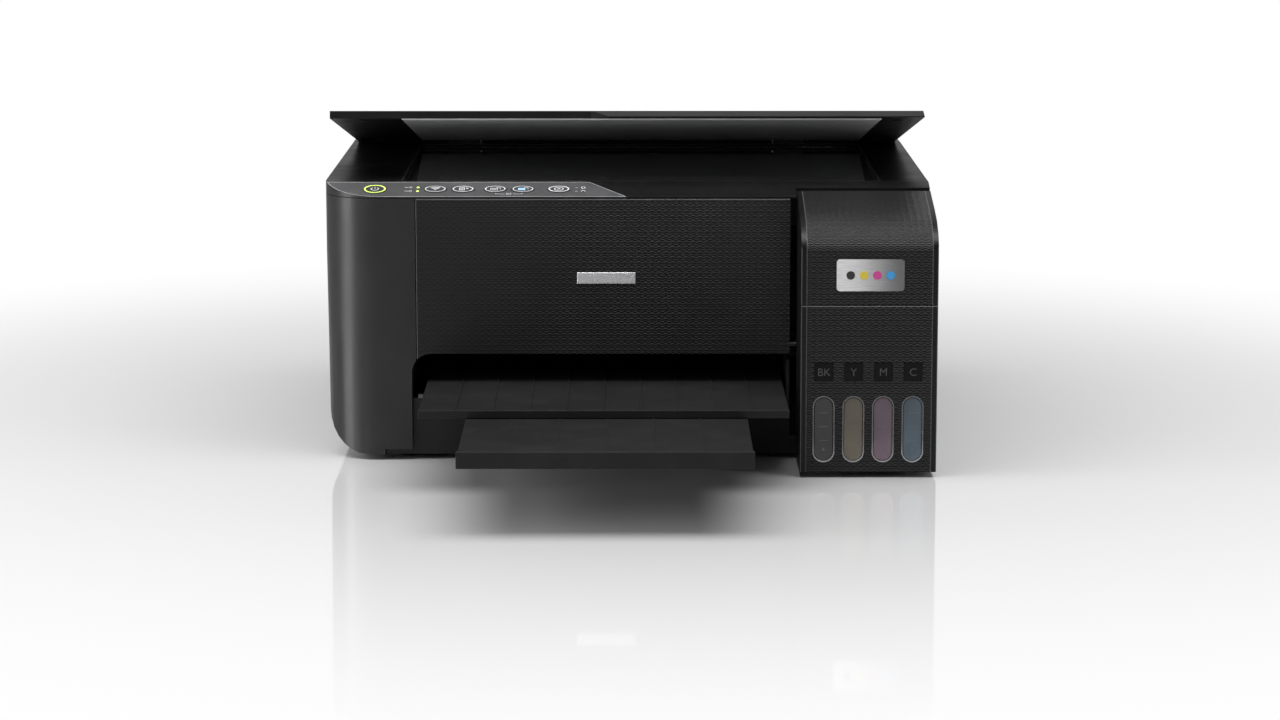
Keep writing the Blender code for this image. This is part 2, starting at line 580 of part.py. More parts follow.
# ---------------------------------------------------------------- lid
def make_lid():
    """A shallow shell with a sloping visor in front, notched at the left behind the control panel."""
    flat_front = SLOPE_Y + 1.0
    plan = [(LID_HALF, VISOR_Y), (LID_HALF, LID_REAR), (-LID_HALF, LID_REAR), (-LID_HALF, flat_front),
            (-22.0, flat_front), (-11.5, VISOR_Y)]
    side = [(VISOR_Y, LID_UNDER), (VISOR_Y, LID_UNDER + 0.6), (flat_front - 0.5, 176.3),
            (LID_REAR, 179.0), (LID_REAR, LID_UNDER)]
    shape = common(prism("z", plan, 150.0, 200.0), prism("x", side, -200.0, 200.0))
    mat_bay = block((-140.0, 158.8), (27.1, 247.9), (160.0, 173.5))
    hollow = block((-136.0, 154.8), (31.1, 243.9), (160.0, 174.4))
    shape = cut(shape, mat_bay, hollow)
    black = material("moulded_black", BLACK, 0.5)
    for name, x in (("lid_hinge_left", -110.0), ("lid_hinge_right", 110.0)):
        notch = block((x - 10.5, x + 10.5), (248.0, 262.0), (160.0, 190.0))
        bore = rod("x", LID_HINGE, 2.2, x - 17.0, x + 17.0)
        shape = cut(shape, notch, bore)
        post = block((x - 10.0, x + 10.0), (252.0, 260.0), (164.0, 177.4))
        pin = rod("x", LID_HINGE, 1.8, x - 16.0, x + 16.0)
        node(name, join(post, pin), black, origin=(x, *LID_HINGE))
    node("lid_shell", shape, material("gloss_black", BLACK, 0.25), origin=(0.0, *LID_HINGE), tilt=-LID_OPEN)
    mat = block((-139.6, 158.4), (27.5, 247.5), (171.4, 173.2))
    node("lid_mat", mat, material("mat_grey", (0.03, 0.03, 0.031), 0.6), origin=(0.0, *LID_HINGE),
         tilt=-LID_OPEN)


clear_scene()
make_left_cover()
make_right_cover()
make_rear_cover()
make_base_pan()
make_front_panel()
make_feet()
make_tank_housing()
for ink_name, ink_x in ink_places():
    make_ink_tank(ink_name, ink_x)
    make_tank_cap(ink_name, ink_x)
make_tank_cover()
make_print_frame()
make_carriage()
make_drive_belt()
make_rollers()
make_gear_train()
make_print_bed()
make_electrics()
make_paper_feed()
make_output_tray()
make_scanner_bezel()
make_scanner_inside()
make_control_panel()
make_lid()
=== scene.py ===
"""The looks of an A4 ink-tank printer with a flatbed scanner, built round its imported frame.

The sections follow the printer as it is put together, from its base to its lid. Places are in millimetres:
X from the middle of the casing, Y from the front panel's plane towards the rear, and Z up from the desk.
"""
import json
from math import atan, cos, pi, radians, sin

import bmesh
import bpy
from mathutils import Matrix, Vector


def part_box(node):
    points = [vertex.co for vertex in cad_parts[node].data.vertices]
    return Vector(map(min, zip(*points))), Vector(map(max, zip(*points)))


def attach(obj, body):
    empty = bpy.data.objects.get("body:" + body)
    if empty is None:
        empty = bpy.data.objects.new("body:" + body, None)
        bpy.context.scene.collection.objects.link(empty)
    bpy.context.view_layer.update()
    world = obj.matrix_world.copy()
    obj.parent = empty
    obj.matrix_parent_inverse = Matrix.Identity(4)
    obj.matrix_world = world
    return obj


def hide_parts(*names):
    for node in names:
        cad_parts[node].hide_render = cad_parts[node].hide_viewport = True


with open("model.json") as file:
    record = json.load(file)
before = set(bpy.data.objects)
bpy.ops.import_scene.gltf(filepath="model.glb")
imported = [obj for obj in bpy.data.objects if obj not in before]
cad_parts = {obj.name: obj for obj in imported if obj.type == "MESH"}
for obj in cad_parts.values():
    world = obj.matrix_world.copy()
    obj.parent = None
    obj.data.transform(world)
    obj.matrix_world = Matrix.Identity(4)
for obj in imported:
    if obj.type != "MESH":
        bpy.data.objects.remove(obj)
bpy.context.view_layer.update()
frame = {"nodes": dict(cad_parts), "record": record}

# ------------------------------------------------------------------ studio
# A pale glossy table in front of a white wall, with large soft lamps. None of it is part of the printer.
MM = 0.001
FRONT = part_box("front_panel")[0].y / MM


def at(x, y, z):
    """A place in millimetres as a vector in the frame's metres."""
    return Vector((x, y + FRONT, z)) * MM


def released():
    """Leaves edit mode with nothing selected, so that the next operator acts on its own piece only."""
    if bpy.context.object and bpy.context.object.mode == "EDIT":
        bpy.ops.object.mode_set(mode="OBJECT")
    bpy.ops.object.select_all(action="DESELECT")


camera = bpy.data.objects.new("studio_camera", bpy.data.cameras.new("studio_camera"))
bpy.context.scene.collection.objects.link(camera)
camera.data.lens = 99.7
camera.data.sensor_width = 36.0
camera.data.clip_end = 50.0
camera.location = at(1.8, -2163.4, 428.5)
camera.rotation_euler = (radians(80.4), 0.0, radians(-0.17))
bpy.context.scene.camera = camera

for name, place, aim, size, power in (
        ("strip_left", (-1500, -380, 450), (-150, 0, 90), (0.45, 1.3), 15.0),
        ("strip_right", (1700, -900, 500), (150, 0, 90), (0.4, 1.2), 6.0),
        ("sheet_front", (-1500, -1500, 900), (-100, 0, 120), (0.9, 0.9), 5.0),
        ("sheet_above", (0, -300, 1500), (0, -100, 0), (2.4, 1.0), 42.0),
        ("sheet_behind", (0, 1400, 1100), (0, 100, 120), (2.4, 1.0), 3.0)):
    lamp = bpy.data.objects.new(name, bpy.data.lights.new(name, "AREA"))
    lamp.data.shape = "RECTANGLE"
    lamp.data.size, lamp.data.size_y = size
    lamp.data.energy = power
    lamp.location = at(*place)
    lamp.rotation_euler = (at(*aim) - lamp.location).to_track_quat("-Z", "Y").to_euler()
    bpy.context.scene.collection.objects.link(lamp)

# The wall is white where it is seen, less than half as bright in reflections, and dim all round.
studio = bpy.data.worlds.new("studio_white")
studio.use_nodes = True
link, nodes = studio.node_tree.links.new, studio.node_tree.nodes
nodes["Background"].inputs["Color"].default_value = (1.0, 1.0, 1.0, 1.0)
heading = nodes.new("ShaderNodeSeparateXYZ")
link(nodes.new("ShaderNodeTexCoord").outputs["Generated"], heading.inputs["Vector"])
wall = nodes.new("ShaderNodeMapRange")
for socket, value in (("From Min", 0.55), ("From Max", 0.9), ("To Min", 0.13), ("To Max", 0.42)):
    wall.inputs[socket].default_value = value
link(heading.outputs["Y"], wall.inputs["Value"])
seen = nodes.new("ShaderNodeMath")
seen.operation = "MAXIMUM"
link(wall.outputs["Result"], seen.inputs[0])
link(nodes.new("ShaderNodeLightPath").outputs["Is Camera Ray"], seen.inputs[1])
link(seen.outputs["Value"], nodes["Background"].inputs["Strength"])
bpy.context.scene.world = studio
bpy.context.scene.view_settings.view_transform = "Standard"


class Wire:
    """A number that changes over a surface. Python's operators add Math nodes to it."""

    def __init__(self, finish, socket):
        self.finish = finish
        self.socket = socket

    def maths(self, operation, *values):
        return self.finish.add("ShaderNodeMath", {"operation": operation}, dict(enumerate(values)))

    def beside(self, output):
        """Another output of the same node."""
        return Wire(self.finish, self.socket.node.outputs[output])

    def __add__(self, other):
        return self.maths("ADD", self, other)

    def __sub__(self, other):
        return self.maths("SUBTRACT", self, other)

    def __rsub__(self, other):
        return self.maths("SUBTRACT", other, self)

    def __mul__(self, other):
        return self.maths("MULTIPLY", self, other)

    def __truediv__(self, other):
        return self.maths("DIVIDE", self, other)

    __radd__ = __add__
    __rmul__ = __mul__

    def wave(self):
        """Sine of the value, where 1.0 is a whole turn."""
        return self.maths("SINE", self * (2 * pi))

    def size(self):
        return self.maths("ABSOLUTE", self)

    def root(self):
        return self.maths("SQRT", self)

    def fade(self, low, high):
        """Rises smoothly from 0 at low to 1 at high."""
        return self.finish.add("ShaderNodeMapRange", {"interpolation_type": "SMOOTHSTEP"},
                               {"Value": self, "From Min": low, "From Max": high})


class Finish:
    """One material: a Principled shader with its fixed values, and the nodes that vary it."""

    def __init__(self, name, colour, roughness, metallic=0.0, **fixed):
        self.material = bpy.data.materials.new(name)
        self.material.use_nodes = True
        self.tree = self.material.node_tree
        self.shader = self.tree.nodes["Principled BSDF"]
        self.colour = colour
        self.roughness = roughness
        self.shader.inputs["Base Color"].default_value = (*colour, 1.0)
        self.shader.inputs["Roughness"].default_value = roughness
        self.shader.inputs["Metallic"].default_value = metallic
        for socket, value in fixed.items():
            self.shader.inputs[socket.replace("_", " ")].default_value = value
        self.place = self.add("ShaderNodeTexCoord").beside("Object")

    def add(self, kind, settings=None, values=None, output=0):
        """Adds a node: its settings come first, then the value or the link of each socket."""
        node = self.tree.nodes.new(kind)
        for key, value in (settings or {}).items():
            setattr(node, key, value)
        for key, value in (values or {}).items():
            if isinstance(value, Wire):
                self.tree.links.new(value.socket, node.inputs[key])
            else:
                node.inputs[key].default_value = value
        return Wire(self, node.outputs[output])

    def axes(self):
        """X, Y and Z of the surface in millimetres, Y from the front panel's plane."""
        x = self.add("ShaderNodeSeparateXYZ", None, {0: self.place})
        return x * 1000.0, x.beside("Y") * 1000.0 - FRONT, x.beside("Z") * 1000.0

    def noise(self, per_metre, detail=2.0, stretch=(1.0, 1.0, 1.0)):
        spread = self.add("ShaderNodeMapping", None, {"Vector": self.place, "Scale": stretch})
        return self.add("ShaderNodeTexNoise", None, {"Vector": spread, "Scale": per_metre, "Detail": detail})

    def vary(self, socket, wire):
        self.tree.links.new(wire.socket, self.shader.inputs[socket])

    def tint(self, other, share):
        """Mixes the base colour towards another one. A second tint goes over the first."""
        under = self.shader.inputs["Base Color"]
        below = Wire(self, under.links[0].from_socket) if under.is_linked else (*self.colour, 1.0)
        self.vary("Base Color", self.add("ShaderNodeMix", {"data_type": "RGBA"},
                                         {"Factor": share, "A": below, "B": (*other, 1.0)}, "Result"))

    def relief(self, height, depth_mm):
        """Bumps the surface by a height from 0 to 1."""
        self.vary("Normal", self.add("ShaderNodeBump", None, {"Height": height, "Distance": depth_mm * MM}))


# The table is glossy near the printer, and fades into the white wall with distance.
released()
bpy.ops.mesh.primitive_plane_add(size=6.0, location=(0.0, -2.0, -0.0004))
table = bpy.context.object
table.name = "studio_table"
bpy.ops.object.transform_apply(location=True)
table_white = Finish("studio_table_white", (0.78, 0.78, 0.78), 0.06, Coat_Weight=1.0)
x, y, _ = table_white.axes()
far = (x * x + (y - 100.0) * (y - 100.0)).root().fade(200.0, 850.0)
lit = table_white.add("ShaderNodeEmission", None, {"Strength": 1.0})
glossy = Wire(table_white, table_white.shader.outputs[0])
seen_far = far * table_white.add("ShaderNodeLightPath")
faded = table_white.add("ShaderNodeMixShader", None, {0: seen_far, 1: glossy, 2: lit})
table_white.tree.links.new(faded.socket, table_white.tree.nodes["Material Output"].inputs["Surface"])
table.data.materials.append(table_white.material)


# ------------------------------------------------------------------ base pan and feet
# The floor of the printer is one black moulding with a low rim, a front sill and two rails that carry the
# paper tray. Four rubber feet are pressed into its underside.
def lighter(colour, times, plus=0.0):
    return [c * times + plus for c in colour]


def grained(name, colour, roughness, per_metre=2600.0, depth_mm=0.02, dust=0.5, **fixed):
    """Spark-eroded plastic: fine grain, a sheen that changes slowly, and a trace of dust in its colour."""
    made = Finish(name, colour, roughness, **fixed)
    made.vary("Roughness", made.noise(18.0, 3.0).fade(0.3, 0.7) * 0.08 + (roughness - 0.04))
    made.tint(lighter(colour, 1.5, 0.001), made.noise(55.0, 4.0).fade(0.45, 0.75) * dust)
    made.relief(made.noise(per_metre, 1.0), depth_mm)
    return made


moulded_black = grained("moulded_black", (0.0075, 0.0075, 0.008), 0.5, Specular_IOR_Level=0.35)
foot_rubber = grained("foot_rubber", (0.008, 0.008, 0.008), 0.85, 900.0, 0.06, Specular_IOR_Level=0.2)


def hold(piece):
    """Makes a piece the only one that operators act on."""
    released()
    piece.select_set(True)
    bpy.context.view_layer.objects.active = piece


def picked(piece, wanted=None, what="FACE"):
    """Goes into edit mode with only the wanted faces, edges or corners selected, or all of them."""
    hold(piece)
    bpy.ops.object.mode_set(mode="EDIT")
    bpy.ops.mesh.select_mode(type=what)
    bpy.ops.mesh.select_all(action="DESELECT" if wanted else "SELECT")
    mesh = bmesh.from_edit_mesh(piece.data)
    for item in {"FACE": mesh.faces, "EDGE": mesh.edges, "VERT": mesh.verts}[what]:
        if wanted and wanted(item):
            item.select_set(True)
    mesh.select_flush_mode()
    bmesh.update_edit_mesh(piece.data)


def soften(piece, round_off, steps=2, sharp=28.0):
    """Rounds every sharp edge, as a mould or a deburring tool leaves it."""
    picked(piece, lambda edge: False, "EDGE")
    bpy.ops.mesh.edges_select_sharp(sharpness=radians(sharp))
    bpy.ops.mesh.bevel(offset=round_off * MM, segments=steps, affect="EDGES", clamp_overlap=True)
    released()


def settle(piece, body, finish, nodes=(), smooth=35.0):
    """Gives a piece its finish and fixes it to its body, in place of the plain solids it stands for."""
    hold(piece)
    bpy.ops.object.shade_smooth_by_angle(angle=radians(smooth))
    bpy.ops.object.modifier_add(type="WEIGHTED_NORMAL")
    piece.modifiers[-1].keep_sharp = True
    bpy.ops.object.modifier_apply(modifier=piece.modifiers[-1].name)
    released()
    piece.data.materials.clear()
    piece.data.materials.append(finish.material)
    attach(piece, body)
    if nodes:
        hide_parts(*nodes)
    return piece


def copied(node, name):
    """A frame node's form with its triangles joined into whole faces."""
    released()
    piece = bpy.data.objects.new(name, frame["nodes"][node].data.copy())
    bpy.context.scene.collection.objects.link(piece)
    picked(piece)
    bpy.ops.mesh.remove_doubles(threshold=0.01 * MM)
    bpy.ops.mesh.dissolve_limited(angle_limit=radians(0.6))
    released()
    return piece


def body_of(node):
    """The body that a frame node moves with."""
    bodies = frame["record"]["behaviour"]["bodies"]
    return next(body for body, members in bodies.items() if node in members)


def make(node, name, finish, round_off=0.5, steps=2):
    """A frame node's finished piece: the same form with rounded edges, settled in its place."""
    piece = copied(node, name)
    soften(piece, round_off, steps)
    slot = next(part["material_slot"] for part in frame["record"]["subparts"] if part["node"] == node)
    return settle(piece, body_of(node), finish, [node])


make("base_pan", "base_pan_moulding", moulded_black)
for name in ("foot_front_left", "foot_rear_left", "foot_front_right", "foot_rear_right"):
    make(name, name + "_pad", foot_rubber, 0.8, 3)

# ------------------------------------------------------------------ side and rear covers
# Thin satin-black shells that hook over the base pan and are screwed together at the rear. The left one
# wraps round the front corner; the rear one carries the paper slot's deck, vents and the two sockets.
satin_black = grained("satin_black", (0.0085, 0.0085, 0.009), 0.38, 3200.0, 0.012, Specular_IOR_Level=0.5)
screw_steel = Finish("screw_steel", (0.30, 0.30, 0.31), 0.32, 1.0)
screw_steel.vary("Roughness", screw_steel.noise(900.0, 3.0) * 0.25 + 0.2)
label_foil = grained("label_foil", (0.22, 0.22, 0.225), 0.45, 1500.0, 0.01)


def placed(name):
    """Puts a fresh primitive's place, turn and size into its mesh, and names it."""
    piece = bpy.context.object
    piece.name = name
    hold(piece)
    bpy.ops.object.transform_apply(location=True, rotation=True, scale=True)
    return piece


def plate(name, x, y, z, round_off=0.3, steps=2):
    """A bar or plate between pairs of limits, with its edges rounded."""
    released()
    middle = at(*[(low + high) / 2.0 for low, high in (x, y, z)])
    span = [(high - low) * MM for low, high in (x, y, z)]
    bpy.ops.mesh.primitive_cube_add(size=1.0, location=middle, scale=span)
    piece = placed(name)
    if round_off:
        soften(piece, round_off, steps)
    return piece


def drum(name, axis, centre, radius, low, high, sides=40, round_off=0.3):
    """A round piece along an axis, with its rims rounded. The centre is its place across that axis."""
    released()
    half = (low + high) / 2.0
    places = {"x": (half, *centre), "y": (centre[0], half, centre[1]), "z": (*centre, half)}
    turns = {"x": (0.0, pi / 2, 0.0), "y": (pi / 2, pi / sides, 0.0), "z": (0.0, 0.0, 0.0)}
    bpy.ops.mesh.primitive_cylinder_add(vertices=sides, radius=radius * MM, depth=(high - low) * MM,
                                        location=at(*places[axis]), rotation=turns[axis])
    piece = placed(name)
    if round_off:
        soften(piece, round_off, 2, 50.0)
    return piece


def carved(piece, cutters):
    """Cuts other pieces out of a piece."""
    for cutter in cutters:
        hold(piece)
        modifier = piece.modifiers.new("cut", "BOOLEAN")
        modifier.operation = "DIFFERENCE"
        modifier.solver = "EXACT"
        modifier.object = cutter
        bpy.ops.object.modifier_apply(modifier=modifier.name)
        bpy.data.objects.remove(cutter, do_unlink=True)
    return piece


def joined(name, pieces):
    """Several loose solids as one piece."""
    hold(pieces[0])
    for piece in pieces:
        piece.select_set(True)
    bpy.ops.object.join()
    pieces[0].name = name
    released()
    return pieces[0]


make("left_cover", "left_cover_shell", satin_black, 0.6, 3)
make("right_cover", "right_cover_shell", satin_black, 0.6, 3)

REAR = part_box("rear_cover")[1].y / MM - FRONT
SCREW_PLACES = [(x, z) for x in (-172.0, 172.0) for z in (14.0, 84.0, 152.0)]
LABEL_X, LABEL_Z = (-70.0, 0.0), (58.0, 92.0)
POCKET_GAP = 0.3
rear_shell = copied("rear_cover", "rear_cover_shell")
vents = [plate("vent", (x, x + 4.0), (280.0, 300.0), (104.0, 140.0), 0.0) for x in range(22, 148, 9)]
pockets = [drum("pocket", "y", place, 3.6, REAR - 1.4, REAR + 5.0, 32, 0.0) for place in SCREW_PLACES]
pockets.append(plate("pocket", (LABEL_X[0] - POCKET_GAP, LABEL_X[1] + POCKET_GAP), (REAR - 0.5, REAR + 5.0),
                     (LABEL_Z[0] - POCKET_GAP, LABEL_Z[1] + POCKET_GAP), 0.0))
carved(rear_shell, [joined("cutters", vents + pockets)])
soften(rear_shell, 0.4)
settle(rear_shell, "casing", satin_black, ["rear_cover"])
settle(plate("rating_plate", LABEL_X, (REAR - 0.45, REAR - 0.1), LABEL_Z, 0.15), "casing",
       label_foil)


def rear_screw(x, z):
    """A cross-head screw, seen from behind."""
    head = drum("screw", "y", (x, z), 3.0, REAR - 1.38, REAR - 0.1, 24, 0.4)
    slots = [plate("slot", (x - w, x + w), (REAR - 0.7, REAR + 2.0), (z - h, z + h), 0.0)
             for w, h in ((1.7, 0.3), (0.3, 1.7))]
    return carved(head, slots)


settle(joined("rear_screws", [rear_screw(*place) for place in SCREW_PLACES]), "casing", screw_steel)

# ------------------------------------------------------------------ front panel
# A single flat moulding between the left cover and the ink unit. Its face is etched with rows of small
# waves that die away towards the left, with painted highlights on their crests. Pale strips along its top and
# left edges are a painted highlight, and a blank nameplate is glued on.
low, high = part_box("front_panel")
PANEL_LEFT, PANEL_RIGHT, PANEL_FOOT, PANEL_TOP = [v / MM for v in (low.x, high.x, low.z, high.z)]
WAVE, ROW = 4.2, 1.6             # how long each wave is, and how far apart the rows are


def etched(name, colour, crest_highlight, smooth_edges, depth_mm=0.2):
    """Wave-etched black plastic: rows of small waves, out of step from row to row.

    smooth_edges takes X and Z and gives 1 where the waves are and 0 where the surface is left smooth.
    """
    made = Finish(name, colour, 0.35, Specular_IOR_Level=0.28)
    x, y, z = made.axes()
    along = x / WAVE
    down = (z + y * 0.9) / ROW
    crest = (down + along.wave() * 0.22).wave() * 0.62 + ((down * 0.5).wave() * along.wave()) * 0.38
    height = crest.fade(-0.9, 0.9) * smooth_edges(x, z)
    # The crests are painted lighter, in patches: a painted highlight where they would catch the light.
    highlight_patches = made.noise(40.0, 3.0) * 0.6 + 0.3
    made.tint(crest_highlight, crest.fade(0.1, 0.8) * smooth_edges(x, z) * highlight_patches)
    made.vary("Roughness", made.noise(25.0, 3.0) * 0.08 + 0.34 - height * 0.12)
    made.relief(height + made.noise(2600.0, 1.0) * 0.12, depth_mm)
    return made


ripple_front = etched("ripple_front", (0.0075, 0.0075, 0.0079), (0.08, 0.08, 0.082),
                      lambda x, z: x.fade(PANEL_LEFT + 5.0, PANEL_LEFT + 130.0) * 0.75 + 0.25)
make("front_panel", "front_panel_face", ripple_front, 0.5, 3)

# Pale strips along the front panel's edges and the tank housing's top edge: a painted highlight standing in
# for the light on their rounded edges.
edge_highlight_grey = grained("edge_highlight_grey", (0.085, 0.085, 0.088), 0.3, 2200.0, 0.01)
rims = [plate("top", (PANEL_LEFT + 0.3, PANEL_RIGHT - 0.3), (-0.12, 0.4),
              (PANEL_TOP - 0.75, PANEL_TOP - 0.2), 0.08, 1),
        plate("side", (PANEL_LEFT + 0.12, PANEL_LEFT + 0.5), (-0.1, 0.4),
              (PANEL_FOOT + 1.0, PANEL_TOP - 1.0), 0.08, 1)]
settle(joined("front_panel_highlight_strips", rims), "casing", edge_highlight_grey)


def brushed(name, colour, roughness, turn=(1.0, 60.0, 60.0), metallic=1.0):
    """Brushed metal: fine streaks along X, each a little darker and smoother or rougher than the next."""
    made = Finish(name, colour, roughness, metallic)
    streak = made.noise(120.0, 6.0, turn)
    made.vary("Roughness", streak * 0.3 + (roughness - 0.12))
    made.tint(lighter(colour, 0.45), streak.fade(0.35, 0.75) * 0.6)
    made.relief(streak, 0.01)
    return made


badge_metal = brushed("badge_metal", (0.85, 0.85, 0.87), 0.36, metallic=0.75)
settle(plate("nameplate", (-30.6, 5.4), (-0.7, 0.2), (110.2, 117.4), 0.5, 3), "casing",
       badge_metal)

# ------------------------------------------------------------------ ink tank unit
# A box at the right front holds four clear tanks side by side. Its face has the same waves between smooth
# borders, four long round-ended windows, and a sunk square over each with its ink's usual letters.
TANK_LEFT, TANK_RIGHT = [corner.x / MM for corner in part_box("tank_housing")]
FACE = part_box("tank_housing")[0].y / MM - FRONT
BORDER = 3.4
INK_LETTERS = {"black": "BK", "yellow": "Y", "magenta": "M", "cyan": "C"}
INK_X = {ink: sum(corner.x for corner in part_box("ink_tank_" + ink)) / 2.0 / MM for ink in INK_LETTERS}
SQUARE_Z, SQUARE = 64.6, 5.8


def past_border(x):
    """How far a place lies outwards from the line between the waves and the smooth border."""
    return (x - (TANK_LEFT + TANK_RIGHT) / 2.0).size() - ((TANK_RIGHT - TANK_LEFT) / 2.0 - BORDER)


ripple_tank = etched("ripple_tank", (0.0025, 0.0025, 0.0028), (0.048, 0.048, 0.049),
                     lambda x, z: 1.0 - past_border(x).fade(-0.25, 0.25))
across, deep, _ = ripple_tank.axes()
# A thin pale line where the waves meet each smooth border, and another along the outer front corners: painted
# highlights.
ripple_tank.tint((0.05, 0.05, 0.052), 1.0 - past_border(across).size().fade(0.15, 0.5))
corner_highlight = past_border(across).fade(BORDER - 0.75, BORDER - 0.3) * (1.0 - deep.fade(FACE + 0.3, FACE + 0.9))
ripple_tank.tint((0.07, 0.07, 0.072), corner_highlight)
housing = copied("tank_housing", "tank_housing_shell")
carved(housing, [plate("recess", (x - SQUARE, x + SQUARE), (FACE - 1.0, FACE + 0.6),
                       (SQUARE_Z - SQUARE, SQUARE_Z + SQUARE), 0.0) for x in INK_X.values()])
soften(housing, 0.4, 3)
settle(housing, "casing", ripple_tank, ["tank_housing"])

# Near-black, darker than the mouldings, for the floors of the sunk squares, the lid's underside and the hinge
# posts: painted shade.
painted_shade_black = grained("painted_shade_black", (0.003, 0.003, 0.0032), 0.5, 2600.0, 0.01, Specular_IOR_Level=0.15)
letter_grey = grained("letter_grey", (0.04, 0.04, 0.041), 0.5, 2600.0, 0.01)

for ink, x in INK_X.items():
    tile = plate("tile_" + ink, (x - SQUARE + 0.15, x + SQUARE - 0.15), (FACE + 0.25, FACE + 1.6),
                 (SQUARE_Z - SQUARE + 0.15, SQUARE_Z + SQUARE - 0.15), 0.15)
    # The floor of each sunk square is painted near-black: painted shade.
    settle(tile, "casing", painted_shade_black)
    released()
    bpy.ops.object.text_add(location=at(x, FACE + 0.27, SQUARE_Z - 2.35), rotation=(pi / 2, 0.0, 0.0))
    letters = bpy.context.object
    letters.data.body = INK_LETTERS[ink]
    letters.data.align_x = "CENTER"
    letters.data.size = 6.6 * MM
    letters.data.extrude = 0.1 * MM
    bpy.ops.object.convert(target="MESH")
    settle(placed("letters_" + ink), "casing", letter_grey)

# ------------------------------------------------------------------ ink tanks, windows and stoppers
# Each tank is a clear bottle that fills its slot. A round-ended lens closes the window in front of it, with
# a bright moulded rim, three level lines and a small arrow at the lowest level. A rubber stopper on a strap
# shuts each filler neck.
INKS = {
    "black": ((0.021, 0.021, 0.022), (0.012, 0.012, 0.012)),
    "yellow": ((0.085, 0.072, 0.052), (0.42, 0.33, 0.03)),
    "magenta": ((0.092, 0.062, 0.082), (0.36, 0.03, 0.17)),
    "cyan": ((0.050, 0.074, 0.096), (0.02, 0.18, 0.38)),
}
LENS_Y = (FACE + 0.5, FACE + 2.2)
WINDOW_Z, WINDOW_R, WINDOW_RUN = 29.5, 6.75, 13.75
rim_grey = Finish("rim_grey", (0.11, 0.11, 0.112), 0.25)
rim_grey.tint((0.30, 0.30, 0.31), 1.0 - rim_grey.axes()[2].fade(9.0, 26.0))
rim_grey.vary("Roughness", rim_grey.noise(300.0, 2.0) * 0.15 + 0.18)
mark_grey = grained("mark_grey", (0.10, 0.10, 0.10), 0.5, 2600.0, 0.01)


def pill(name, x, y, radius, round_off=0.3, steps=2):
    """An upright round-ended bar, as wide as a window when its radius is the window's."""
    piece = drum(name, "y", (x, WINDOW_Z), radius, *y, sides=48, round_off=0.0)
    for side in (-1, 1):
        picked(piece, lambda corner: (corner.co.z / MM - WINDOW_Z) * side > 0.0, "VERT")
        bpy.ops.transform.translate(value=(0.0, 0.0, side * WINDOW_RUN * MM))
    released()
    if round_off:
        soften(piece, round_off, steps, 50.0)
    return piece


def ring(name, x, outer, wall, y):
    """A round-ended rim, made by taking a narrower bar out of a wider one."""
    hole = pill("hole", x, (y[0] - 1.0, y[1] + 1.0), outer - wall, 0.0)
    return carved(pill(name, x, y, outer, 0.0), [hole])


def level_marks(ink, x):
    """Three level lines and an arrow, standing a tenth of a millimetre out of the lens."""
    lines = [plate("line", (x - 2.7, x + 2.7), (LENS_Y[0] - 0.1, LENS_Y[0] + 0.2), (z - 0.16, z + 0.16), 0.0)
             for z in (39.5, 31.0, 22.5)]
    released()
    bpy.ops.mesh.primitive_cylinder_add(vertices=3, radius=1.2 * MM, depth=0.3 * MM,
                                        location=at(x, LENS_Y[0] + 0.05, 17.0), rotation=(pi / 2, 0.0, 0.0))
    return joined("level_marks_" + ink, lines + [placed("arrow")])


for ink, (behind, bright) in INKS.items():
    x = INK_X[ink]
    tank = Finish("ink_" + ink, lighter(bright, 0.5), 0.15, Coat_Weight=0.6, Coat_Roughness=0.05)
    tank.tint(lighter(bright, 0.9), tank.noise(70.0, 3.0).fade(0.35, 0.7))
    tank.vary("Roughness", tank.noise(50.0, 2.0) * 0.2 + 0.08)
    make("ink_tank_" + ink, "tank_" + ink, tank, 0.6, 2)

    lens = Finish("lens_" + ink, behind, 0.3, Coat_Weight=0.5, Coat_Roughness=0.12)
    _, _, up = lens.axes()
    lens.tint(lighter(behind, 1.5), 1.0 - up.fade(12.0, 34.0))
    lens.tint(lighter(behind, 0.7), lens.noise(60.0, 3.0).fade(0.4, 0.75) * 0.6)
    lens.relief(lens.noise(300.0, 2.0), 0.03)
    settle(pill("window_lens_" + ink, x, LENS_Y, WINDOW_R - 1.0, 0.5, 3), "casing", lens)
    rim = ring("window_rim_" + ink, x, WINDOW_R - 0.1, 0.75, (FACE - 0.15, FACE + 2.0))
    soften(rim, 0.15, 2, 50.0)
    settle(rim, "casing", rim_grey)
    settle(level_marks(ink, x), "casing", mark_grey)

    stopper = grained("stopper_" + ink, lighter(bright, 0.8), 0.6, 1200.0, 0.03)
    make("tank_cap_" + ink, "stopper_" + ink, stopper, 0.8, 3)
    grip = joined("stopper_grip_" + ink, [plate("rib", (x - 4.0, x + 4.0), (y, y + 0.8), (100.6, 101.9), 0.25)
                                          for y in (-33.0, -31.0, -29.0, -27.0, -25.0)])
    settle(grip, "tank_cap_" + ink, stopper)

# ------------------------------------------------------------------ ink tank cover
# A hood over the stoppers, hinged at the rear on two pins. Its front and its arched top carry the waves, its
# sides and borders are smooth, and a brushed plate with four ink dots is set in its face.
make("tank_cover", "tank_cover_hood", ripple_tank, 0.6, 3)
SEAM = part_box("tank_cover")[0].z / MM
